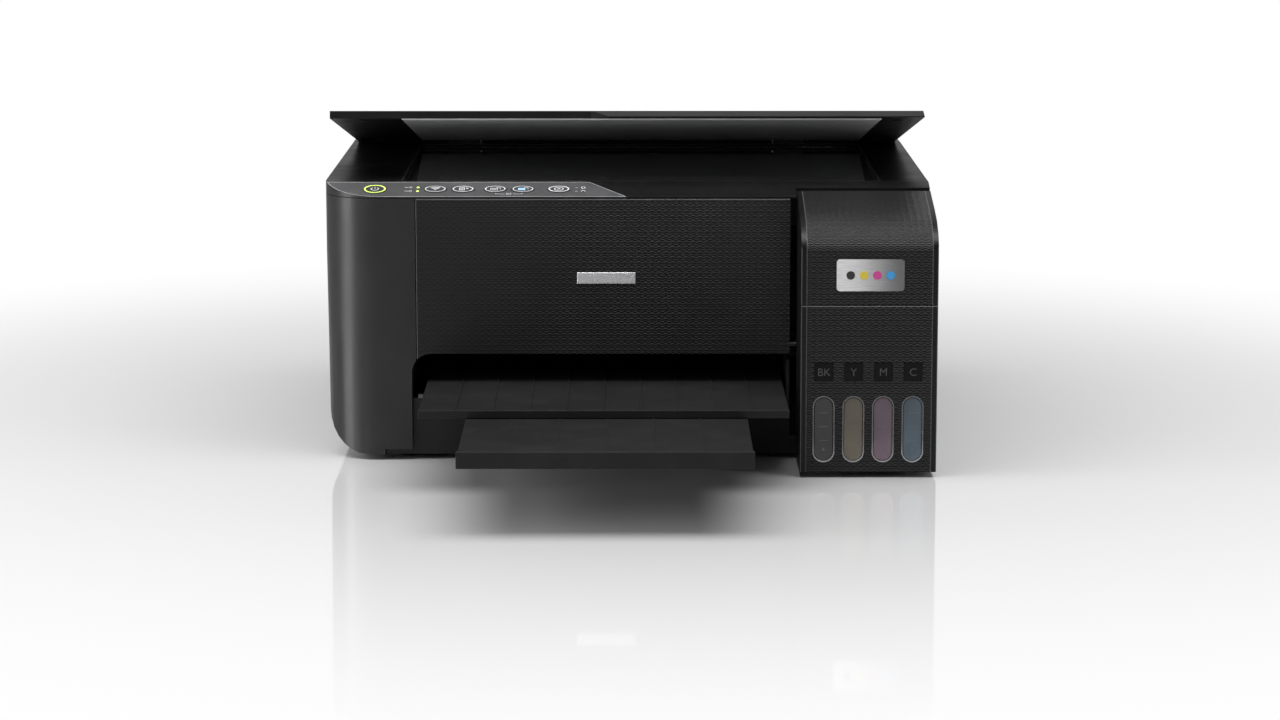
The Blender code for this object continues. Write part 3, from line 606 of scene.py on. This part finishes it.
# A pale strip along the housing's top edge, under the cover's seam: a painted highlight.
settle(plate("housing_highlight_strip", (TANK_LEFT + 0.4, TANK_RIGHT - 0.4), (FACE - 0.1, FACE + 0.4),
             (SEAM - 0.95, SEAM - 0.45), 0.08, 1), "casing", edge_highlight_grey)
BADGE_X, BADGE_Z, BADGE = 146.6, 123.6, (20.4, 9.65)
badge = plate("ink_badge", (BADGE_X - BADGE[0], BADGE_X + BADGE[0]), (FACE - 0.7, FACE + 0.5),
              (BADGE_Z - BADGE[1], BADGE_Z + BADGE[1]), 0.0)
picked(badge, lambda edge: abs(edge.verts[0].co.y - edge.verts[1].co.y) > 0.5 * MM, "EDGE")
bpy.ops.mesh.bevel(offset=2.0 * MM, segments=6, affect="EDGES")
soften(badge, 0.25, 2, 50.0)
badge_face = brushed("badge_face", (0.95, 0.95, 0.96), 0.36, metallic=0.6)
# The plate is painted darker towards its right: a painted reflection.
badge_face.tint((0.10, 0.10, 0.105), badge_face.axes()[0].fade(BADGE_X - 18.0, BADGE_X + 20.0) * 0.9)
settle(badge, "tank_cover", badge_face)
DOT_STEP = 8.0
for place, (ink, (_, bright)) in enumerate(INKS.items()):
    dot_x = BADGE_X + (place - 1.5) * DOT_STEP
    dot = drum("badge_dot_" + ink, "y", (dot_x, BADGE_Z), 2.6, FACE - 0.95, FACE - 0.5, 40, 0.15)
    enamel = grained("enamel_" + ink, lighter(bright, 1.4), 0.2, 700.0, 0.005, Coat_Weight=0.8)
    settle(dot, "tank_cover", enamel)

# ------------------------------------------------------------------ print mechanism
# A frame of folded zinc-plated sheet carries the carriage's round rail, the toothed belt that pulls it, and
# four shafts. Their gears are white acetal; their grip comes from rubber sleeves pressed on the shafts.
zinc = Finish("zinc_sheet", (0.34, 0.34, 0.35), 0.38, 1.0)
zinc.vary("Roughness", zinc.noise(160.0, 4.0) * 0.3 + 0.22)
zinc.tint((0.22, 0.225, 0.23), zinc.noise(90.0, 5.0).fade(0.4, 0.65))
shaft_steel = brushed("shaft_steel", (0.42, 0.42, 0.43), 0.28, (1.0, 30.0, 30.0))
acetal = grained("acetal", (0.55, 0.55, 0.53), 0.4, 1500.0, 0.008)
grip_rubber = grained("grip_rubber", (0.012, 0.012, 0.013), 0.8, 1400.0, 0.05, Specular_IOR_Level=0.2)
grey_plastic = grained("grey_plastic", (0.09, 0.09, 0.095), 0.5)


def painted(piece, finish, wanted):
    """Gives some faces of a finished piece a second finish."""
    piece.data.materials.append(finish.material)
    for face in piece.data.polygons:
        if wanted(face):
            face.material_index = len(piece.data.materials) - 1
    return piece


def extra(name, node, finish, pieces):
    """Details that stand on a frame node and move with it."""
    return settle(joined(name, pieces), body_of(node), finish)


make("print_frame", "print_frame_plates", zinc, 0.2, 1)
make("carriage_rail", "rail", shaft_steel, 0.4)
make("print_carriage", "carriage_shell", moulded_black, 1.2, 3)
make("print_head", "print_head_plate", shaft_steel, 0.2, 1)
low, high = [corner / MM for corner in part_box("print_carriage")]
LATCH, LATCH_STEP = 15.0, 17.5
extra("carriage_latches", "print_carriage", grey_plastic,
      [plate("latch", (x, x + LATCH), (low.y - FRONT + 6.0, low.y - FRONT + 30.0),
             (high.z - 0.2, high.z + 1.4), 0.5)
       for x in [low.x + 6.0 + LATCH_STEP * k for k in range(4)]])
make("carriage_motor", "carriage_motor_can", zinc, 0.6, 2)
make("feed_motor", "feed_motor_can", zinc, 0.6, 2)
make("carriage_pulley", "motor_pulley", acetal, 0.3, 1)
make("idler_pulley", "belt_idler", acetal, 0.3, 1)
make("timing_belt", "toothed_belt", grip_rubber, 0.15, 1)
make("idler_gear", "idler_wheel", acetal, 0.15, 1)
make("motor_pinion", "pinion", acetal, 0.1, 1)

GEAR_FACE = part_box("idler_gear")[1].x - 2.0 * MM
for node in ("feed_roller", "eject_roller", "pickup_roller", "star_wheel_shaft"):
    shaft = make(node, node + "_shaft", shaft_steel, 0.12, 1)
    painted(shaft, acetal, lambda face: face.center.x < GEAR_FACE)


def joint(name):
    """A joint's entry in the frame's record."""
    return next(entry for entry in frame["record"]["behaviour"]["joints"] if entry["name"] == name)


def shaft_axis(name):
    """Y and Z of a turning shaft."""
    place = joint(name)["pos_m"]
    return place[1] / MM - FRONT, place[2] / MM


SHEET_X = sum(corner.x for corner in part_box("output_tray")) / 2.0 / MM
SLEEVE, RING, TYRE = 39.0, 11.6, 4.0             # lengths of the rubbers along their shafts
RING_STEP, TYRE_STEP = 45.0, 4.6
extra("feed_sleeve", "feed_roller", grip_rubber,
      [drum("sleeve", "x", shaft_axis("feed_turn"), 5.65, x, x + SLEEVE, 40)
       for x in (-118.0, -76.5, -35.0, 6.5, 48.0)])
extra("eject_rings", "eject_roller", grip_rubber,
      [drum("ring", "x", shaft_axis("eject_turn"), 6.15, x - RING / 2.0, x + RING / 2.0, 36)
       for x in [SHEET_X + RING_STEP * k for k in (-2, -1, 0, 1, 2)]])
extra("pickup_tyres", "pickup_roller", grip_rubber,
      [drum("tyre", "x", shaft_axis("pickup_turn"), 14.15, x + TYRE_STEP * k, x + TYRE_STEP * k + TYRE, 48)
       for x in (-73.5, 23.5) for k in range(5)])
strip = Finish("encoder_film", (0.20, 0.21, 0.22), 0.15)
strip.tint((0.02, 0.02, 0.02), (strip.axes()[0] / 0.6).wave().fade(-0.2, 0.2))
settle(plate("encoder_strip", (-167.5, 181.0), (140.3, 140.6), (125.0, 133.0), 0.0), "casing",
       strip)

# ------------------------------------------------------------------ print bed, capping station, electrics
# The platen's ribs hold the sheet flat under the head. At the right the head parks on a rubber-lipped cap
# over the waste-ink box. The power supply and the main board are screwed to the base pan.
foam = grained("foam", (0.16, 0.16, 0.155), 0.95, 700.0, 0.25, Specular_IOR_Level=0.1)
board_green = grained("board_green", (0.012, 0.075, 0.035), 0.35, 400.0, 0.03)
chip_black = grained("chip_black", (0.01, 0.01, 0.01), 0.55, 2000.0, 0.01)
make("platen", "platen_bed", moulded_black, 0.3, 1)
settle(plate("platen_foam", (-116.0, 89.0), (103.0, 110.0), (63.8, 64.7), 0.2), "casing",
       foam)
make("capping_station", "capping_block", grey_plastic, 0.5)
lip = carved(plate("cap_lip", (116.0, 160.0), (90.0, 122.0), (66.3, 67.2), 0.0),
             [plate("well", (118.4, 157.6), (92.4, 119.6), (60.0, 70.0), 0.0)])
soften(lip, 0.3)
settle(lip, "casing", grip_rubber)
make("power_supply", "power_supply_box", moulded_black, 0.8)
board = make("main_board", "circuit_board", board_green, 0.12, 1)
painted(board, zinc, lambda face: face.center.z < 36.0 * MM and 0.060 < face.center.x < 0.074)
extra("chips", "main_board", chip_black,
      [plate("chip", (x, x + size), (281.2, 283.1), (z, z + size), 0.2) for x, z, size in
       ((40.0, 55.0, 22.0), (75.0, 60.0, 12.0), (98.0, 48.0, 16.0), (30.0, 28.0, 9.0), (118.0, 72.0, 10.0))])
extra("capacitors", "main_board", zinc,
      [drum("capacitor", "y", (x, 30.0), 4.0, 273.5, 283.1, 28, 0.6) for x in (96.0, 108.0, 120.0, 132.0)])
make("power_inlet", "inlet_socket", moulded_black, 0.4)
pins = [drum("pin", "y", (x, 30.0), 1.2, 271.5, 284.0, 20, 0.4) for x in (-151.5, -143.5)]
settle(joined("inlet_pins", pins), "casing", shaft_steel)

# ------------------------------------------------------------------ rear paper feed
# Blank sheets stand in a sloping chute behind the scanner. The support slides up out of it, an edge guide
# slides along it, and a hinged flap closes it against dust.
make("paper_feed_frame", "paper_chute", moulded_black, 0.4)
make("paper_support", "paper_support_plate", moulded_black, 0.5)
make("feeder_guard", "dust_flap", satin_black, 0.5, 3)
extra("flap_grip", "feeder_guard", satin_black,
      [plate("rib", (-45.0, 15.0), (y, y + 0.9), (170.2, 170.95), 0.3) for y in (271.0, 273.0, 275.0)])
make("edge_guide", "edge_guide_slider", grey_plastic, 0.5)

# ------------------------------------------------------------------ output tray
# Two thin black plates, one sliding under the other. Low ribs carry the sheet, and the front bar of the
# lower plate turns up to stop it.
tray_black = grained("tray_black", (0.0105, 0.0105, 0.011), 0.48, 2200.0, 0.03, Specular_IOR_Level=0.2)
make("output_tray", "tray_plate", tray_black, 0.8, 3)
make("tray_extension", "tray_extension_plate", tray_black, 0.6, 3)
tray_low, tray_high = [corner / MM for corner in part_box("output_tray")]
slide_low, slide_high = [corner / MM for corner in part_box("tray_extension")]
RIB_STEP = (tray_high.x - tray_low.x) / 10.0
extra("tray_ribs", "output_tray", tray_black,
      [plate("rib", (tray_low.x + RIB_STEP * k - 0.7, tray_low.x + RIB_STEP * k + 0.7), (-95.0, 96.0),
             (48.2, 49.0), 0.25) for k in range(1, 10)])
extra("extension_ribs", "tray_extension", tray_black,
      [plate("rib", (x - 0.8, x + 0.8), (-219.0, -88.0), (43.9, 44.3), 0.15)
       for x in [slide_low.x + (slide_high.x - slide_low.x) * k / 6.0 for k in range(1, 6)]])
settle(plate("mouth_guide", (-129.6, -124.2), (3.5, 6.3), (37.6, 40.2), 0.5), "casing",
       grey_plastic)

# ------------------------------------------------------------------ scanner unit
# A smooth black frame round the A4 glass, over a tub in which the sensor bar travels. The sensor looks up
# through a rod lens beside a clear light guide. Grey ticks are printed along the glass; the pale lines round
# the opening are a painted highlight, and the tub's floor is painted light grey as painted light.
piano_black = Finish("piano_black", (0.007, 0.007, 0.0075), 0.34, Specular_IOR_Level=0.1)
piano_black.vary("Roughness", piano_black.noise(30.0, 4.0).fade(0.35, 0.75) * 0.1 + 0.3)
piano_black.tint((0.013, 0.013, 0.014), piano_black.noise(9.0, 3.0).fade(0.4, 0.8))
piano_black.relief(piano_black.noise(40.0, 2.0), 0.02)
clear_glass = Finish("clear_glass", (0.93, 0.95, 0.94), 0.0, Transmission_Weight=0.95, IOR=1.5)
clear_glass.vary("Roughness", clear_glass.noise(14.0, 3.0).fade(0.5, 0.9) * 0.03)
light_guide = Finish("light_guide", (0.55, 0.57, 0.6), 0.1, Coat_Weight=0.4)
light_guide.vary("Roughness", light_guide.noise(200.0) * 0.15 + 0.05)

make("scanner_bezel", "scanner_top_frame", piano_black, 0.5, 3)
# The tub's upward faces are painted light grey, standing in for light under the glass: painted light.
tub_painted_light_grey = grained("tub_painted_light_grey", (0.2, 0.2, 0.205), 0.55, 1500.0, 0.02, 0.15)
tub = make("scanner_tub", "scanner_tub_floor", moulded_black, 0.5)
painted(tub, tub_painted_light_grey, lambda face: face.normal.z > 0.5)
make("scan_glass", "platen_glass", clear_glass, 0.2, 1)
make("scan_sensor", "sensor_bar", moulded_black, 0.6)
extra("sensor_lens", "scan_sensor", light_guide,
      [plate("guide", (x, x + 2.4), (33.0, 244.0), (161.2, 161.9), 0.3) for x in (-137.6, -133.4)])
OPENING_X, OPENING_Y = (-139.5, 157.5), (30.0, 246.0)      # limits of the opening over the glass
TRIM = 0.7
UNIT_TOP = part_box("control_panel")[1].z / MM
# Pale lines round the opening stand in for the light on its edges: a painted highlight.
opening_highlight_grey = grained("opening_highlight_grey", (0.045, 0.045, 0.047), 0.4, 2200.0, 0.01)
edges = []
for x in (OPENING_X[0] - TRIM, OPENING_X[1]):
    edges.append(plate("side", (x, x + TRIM), (OPENING_Y[0] - TRIM, OPENING_Y[1]),
                       (UNIT_TOP - 0.3, UNIT_TOP + 0.04), 0.0))
for y in (OPENING_Y[0] - TRIM, OPENING_Y[1]):
    edges.append(plate("end", (OPENING_X[0] - TRIM, OPENING_X[1] + TRIM), (y, y + TRIM),
                       (UNIT_TOP - 0.3, UNIT_TOP + 0.04), 0.0))
extra("opening_highlight_lines", "scanner_bezel", opening_highlight_grey, edges)
ticks = []
for centimetre in range(22):
    y = OPENING_Y[0] + 10.0 * centimetre
    reach = 1.9 if centimetre % 5 else 3.2
    ticks.append(plate("tick", (OPENING_X[0] - reach, OPENING_X[0] - TRIM), (y - 0.12, y + 0.12),
                       (UNIT_TOP - 0.1, UNIT_TOP + 0.04), 0.0))
extra("size_marks", "scanner_bezel", mark_grey, ticks)

# ------------------------------------------------------------------ control panel
# A grey satin strip on the slope in front of the glass, rounded with the corner at its left and cut off
# slantwise at its right. Fine pale lines along its edges are a painted highlight. The signs are printed in
# pale grey.
PRESS = joint("power_button_press")["axis"]
SLOPE = atan(-PRESS[1] / PRESS[2])
STRIP_DEPTH, CORNER, KEY_Y = 25.0, 35.0, 12.0
CORNER_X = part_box("left_cover")[0].x / MM + CORNER
SLANT = (0.736, 0.677)           # X and Y of the direction square to the strip's slanting end


def panel_finish():
    made = grained("panel_grey", (0.062, 0.062, 0.064), 0.45, 2400.0, 0.012, Specular_IOR_Level=0.2)
    x, y, _ = made.axes()
    across, back = x - CORNER_X, y - CORNER
    round_gap = CORNER - (across * across + back * back).root()
    in_corner = 1.0 - across.fade(-0.1, 0.1)
    gap = round_gap * in_corner + y * (1.0 - in_corner)
    slant = (x * SLANT[0] + y * SLANT[1]).size()
    # Pale lines along the strip's rounded front edge, its slanting end and its rear edge: a painted
    # highlight.
    line = 3.0 - gap.fade(0.35, 0.75) - slant.fade(0.4, 0.8) - (STRIP_DEPTH - y).fade(0.5, 0.9)
    made.tint((0.30, 0.30, 0.305), line.fade(0.0, 1.0))
    return made


strip_piece = make("control_panel", "control_strip", panel_finish(), 0.3)
painted(strip_piece, satin_black, lambda face: face.normal.z < 0.8)
SIGN = 0.12                      # how far the printed signs stand out, so that they never flicker


def strip_at(x, y, lift=0.0):
    """The turn and place that lay a flat piece, made round the origin, on the sloping strip."""
    foot = at(x, y, UNIT_TOP + (y - STRIP_DEPTH) * sin(SLOPE) / cos(SLOPE))
    raised = Vector((0.0, -sin(SLOPE), cos(SLOPE))) * lift * MM
    return Matrix.Translation(foot + raised) @ Matrix.Rotation(SLOPE, 4, "X")


def stroke(u, v, length, width, turn=0.0):
    """A straight stroke of a sign, round its own middle."""
    released()
    bpy.ops.mesh.primitive_cube_add(size=1.0, location=(u * MM, v * MM, 0.0),
                                    rotation=(0.0, 0.0, radians(turn)),
                                    scale=(length * MM, width * MM, 2 * SIGN * MM))
    return placed("stroke")


def loop(radius, width, squash=1.0, start=0.0, turn=360.0, middle=(0.0, 0.0)):
    """A ring or an arc of a sign: a small section spun round the middle."""
    released()
    bpy.ops.mesh.primitive_plane_add(size=MM, location=(radius * MM, 0.0, 0.0), rotation=(pi / 2, 0.0, 0.0))
    bpy.context.object.scale = (width, 2 * SIGN, 1.0)
    piece = placed("loop")
    picked(piece)
    if turn == 360.0:
        bpy.ops.mesh.delete(type="ONLY_FACE")
        bpy.ops.mesh.select_all(action="SELECT")
    bpy.ops.transform.rotate(value=-radians(start + turn), orient_axis="Z", center_override=(0.0, 0.0, 0.0))
    bpy.ops.mesh.spin(steps=max(12, round(turn / 7.5)), angle=radians(turn), center=(0.0, 0.0, 0.0),
                      axis=(0.0, 0.0, 1.0))
    bpy.ops.mesh.select_all(action="SELECT")
    bpy.ops.mesh.remove_doubles(threshold=0.005 * MM)
    bpy.ops.mesh.normals_make_consistent(inside=False)
    bpy.ops.transform.resize(value=(1.0, squash, 1.0))
    bpy.ops.transform.translate(value=(middle[0] * MM, middle[1] * MM, 0.0))
    released()
    return piece


def sheet(u, v, wide, tall, width=0.42):
    """The outline of a sheet of paper."""
    return [stroke(u, v + side * tall / 2, wide + width, width) for side in (-1, 1)] + \
           [stroke(u + side * wide / 2, v, width, tall) for side in (-1, 1)]


def printed(name, body, finish, place, strokes):
    sign = joined(name, strokes)
    sign.data.transform(place)
    return settle(sign, body, finish)


sign_pale = grained("sign_pale", (0.62, 0.62, 0.63), 0.5, 1500.0, 0.005)
sign_dim = grained("sign_dim", (0.50, 0.50, 0.505), 0.5, 1500.0, 0.005)
sign_blue = grained("sign_blue", (0.30, 0.52, 0.80), 0.45, 1500.0, 0.005)
lamp_lime = Finish("lamp_lime", (0.55, 0.75, 0.12), 0.3, Emission_Strength=0.55)
lamp_lime.shader.inputs["Emission Color"].default_value = (0.62, 0.85, 0.12, 1.0)
lamp_lime.tint((0.75, 0.85, 0.35), lamp_lime.noise(400.0, 2.0).fade(0.4, 0.7) * 0.5)

for place, y in (("front", 9.2), ("rear", 15.6)):
    released()
    bpy.ops.mesh.primitive_uv_sphere_add(segments=24, ring_count=12, radius=0.95 * MM)
    dome = placed("lamp")
    picked(dome)
    bpy.ops.transform.resize(value=(1.0, 1.25, 0.35))
    released()
    printed("status_lamp_" + place, "scanner_unit", lamp_lime, strip_at(-128.9, y), [dome])
printed("lamp_signs", "scanner_unit", sign_dim, strip_at(-134.6, KEY_Y),
        [stroke(u, row + v, length, 0.5) for row in (3.6, -2.8)
         for u, v, length in ((-1.4, 0.0, 2.4), (1.2, 0.8, 2.0), (1.2, -0.7, 2.0))])
printed("error_signs", "scanner_unit", sign_dim, strip_at(-27.4, KEY_Y),
        [loop(1.15, 0.45, 1.2, middle=(0.6, 3.2)), loop(1.1, 0.45, 1.1, -40.0, 250.0, (0.6, -3.0)),
         stroke(-3.6, 3.2, 1.3, 0.45), stroke(-3.6, -3.0, 1.3, 0.45)])
printed("copy_bracket", "scanner_unit", sign_dim, strip_at(-72.5, 4.3),
        sheet(0.0, 0.0, 2.6, 2.2, 0.4) + [stroke(side * 5.4, 0.0, 5.6, 0.35) for side in (-1, 1)]
        + [stroke(side * 8.2, 0.7, 0.35, 1.7) for side in (-1, 1)])

# ------------------------------------------------------------------ keys
# Round and oval caps of dark grey plastic, each on its own switch. A thin ring is printed round the face
# of each, and the power key's ring is lit. All signs are plain, common ones.
key_face = grained("key_face", (0.045, 0.045, 0.047), 0.4, 2600.0, 0.012, Specular_IOR_Level=0.35)
KEY_RISE, KEY_DEPTH = 0.4, 1.8
OVAL = 0.78                      # how deep an oval key is for its width; the power key is round
RING_INSET = 0.75


def key(name, ring_finish, ring_width, signs):
    """A cap with its printed ring, and one piece for each colour of its sign."""
    low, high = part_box(name)
    x = (low.x + high.x) / 2.0 / MM
    half = (high.x - low.x) / 2.0 / MM
    deep = 1.0 if name == "power_button" else OVAL
    top = strip_at(x, KEY_Y, KEY_RISE)
    cap = drum("cap", "z", (0.0, -FRONT), half, -KEY_DEPTH, 0.0, 72, 0.25)
    picked(cap)
    bpy.ops.transform.resize(value=(1.0, deep, 1.0), center_override=(0.0, 0.0, 0.0))
    released()
    cap.name = name + "_cap"
    cap.data.transform(top)
    settle(cap, name, key_face, [name])
    printed(name + "_ring", name, ring_finish, top, [loop(half - RING_INSET, ring_width, deep)])
    for label, finish, strokes in signs:
        printed(name + "_" + label, name, finish, top, strokes)


key("power_button", lamp_lime, 0.95, [("sign", sign_pale, [
    loop(2.3, 0.5, 1.0, 125.0, 290.0), stroke(0.0, 2.0, 0.5, 2.4)])])
key("wireless_button", sign_pale, 0.6, [("sign", sign_pale, [
    loop(1.6, 0.55, 1.0, 45.0, 90.0, (0.0, -1.6)), loop(3.0, 0.55, 1.0, 45.0, 90.0, (0.0, -1.6)),
    loop(4.4, 0.55, 1.0, 50.0, 80.0, (0.0, -1.6)), stroke(0.0, -1.6, 0.9, 0.9)])])
key("status_button", sign_pale, 0.6, [("sign", sign_pale, sheet(-0.6, 0.0, 3.0, 4.6) + [
    stroke(-0.6, v, 1.8, 0.4) for v in (-1.1, 0.0, 1.1)] + [stroke(2.6, v, 1.4, 0.5) for v in (1.6, 0.5)])])
key("copy_mono_button", sign_pale, 0.6, [("sign", sign_pale, sheet(-0.7, -0.5, 4.0, 3.4) + [
    stroke(1.9, 1.9, 2.6, 0.42), stroke(3.0, 0.6, 0.42, 2.6)] + [
        stroke(-0.7, v, 2.4, 0.4) for v in (-0.9, 0.1)])])
key("copy_color_button", sign_pale, 0.6, [
    ("sign", sign_pale, [stroke(1.9, 2.1, 2.8, 0.42), stroke(3.1, 0.8, 0.42, 2.7)]),
    ("fill", sign_blue, [stroke(-0.7, -0.4, 4.4, 3.8)])])
key("stop_button", sign_pale, 0.85, [("sign", sign_pale, [
    loop(2.7, 0.55, 1.0), stroke(0.0, 0.0, 2.0, 0.6, 45.0), stroke(0.0, 0.0, 2.0, 0.6, -45.0)])])

# ------------------------------------------------------------------ lid
# A shallow black shell on two hinge posts, with a sloping visor over the strip. A dark grey sheet on foam
# under it presses the document flat, and four soft buffers keep it off the frame. The lid's underside and the
# hinge posts are painted near-black as painted shade, and a pale strip along the sheet's front edge is a
# painted highlight.
SWING = joint("lid_swing")
HINGE = Vector(SWING["pos_m"])
AJAR = Matrix.Translation(HINGE) @ Matrix.Rotation(radians(SWING["range_deg"][0]), 4, "X") @ \
    Matrix.Translation(-HINGE)
lid_black = grained("lid_black", (0.0075, 0.0075, 0.008), 0.5, 3200.0, 0.012, Specular_IOR_Level=0.1)
lid = make("lid_shell", "lid_moulding", lid_black, 0.45, 3)
# The lid's downward faces are painted near-black: painted shade.
painted(lid, painted_shade_black, lambda face: face.normal.z < -0.4)
mat_finish = grained("mat_grey", (0.46, 0.46, 0.465), 0.45, 1800.0, 0.02, 0.05, Specular_IOR_Level=0.3)
make("lid_mat", "lid_pressing_sheet", mat_finish, 0.25, 2)
MAT_X = [corner.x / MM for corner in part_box("lid_mat")]
# A pale strip at the mat's front edge: a painted highlight.
mat_highlight_strip = plate("mat_highlight_strip", (MAT_X[0] + 0.2, MAT_X[1] - 0.2), (26.9, 27.6), (170.95, 171.75), 0.15)
mat_highlight_strip.data.transform(AJAR)
settle(mat_highlight_strip, "lid", grained("mat_highlight_grey", (0.7, 0.7, 0.705), 0.5, 1800.0, 0.01))
# The hinge posts under the lid are painted near-black: painted shade.
for side in ("left", "right"):
    make("lid_hinge_" + side, "hinge_post_" + side, painted_shade_black, 0.5)
buffers = joined("lid_buffers", [drum("buffer", "z", (x, y), 3.0, 170.9, 171.8, 24, 0.25)
                                 for x in (-166.0, 170.0) for y in (42.0, 236.0)])
buffers.data.transform(AJAR)
settle(buffers, "lid", grip_rubber)
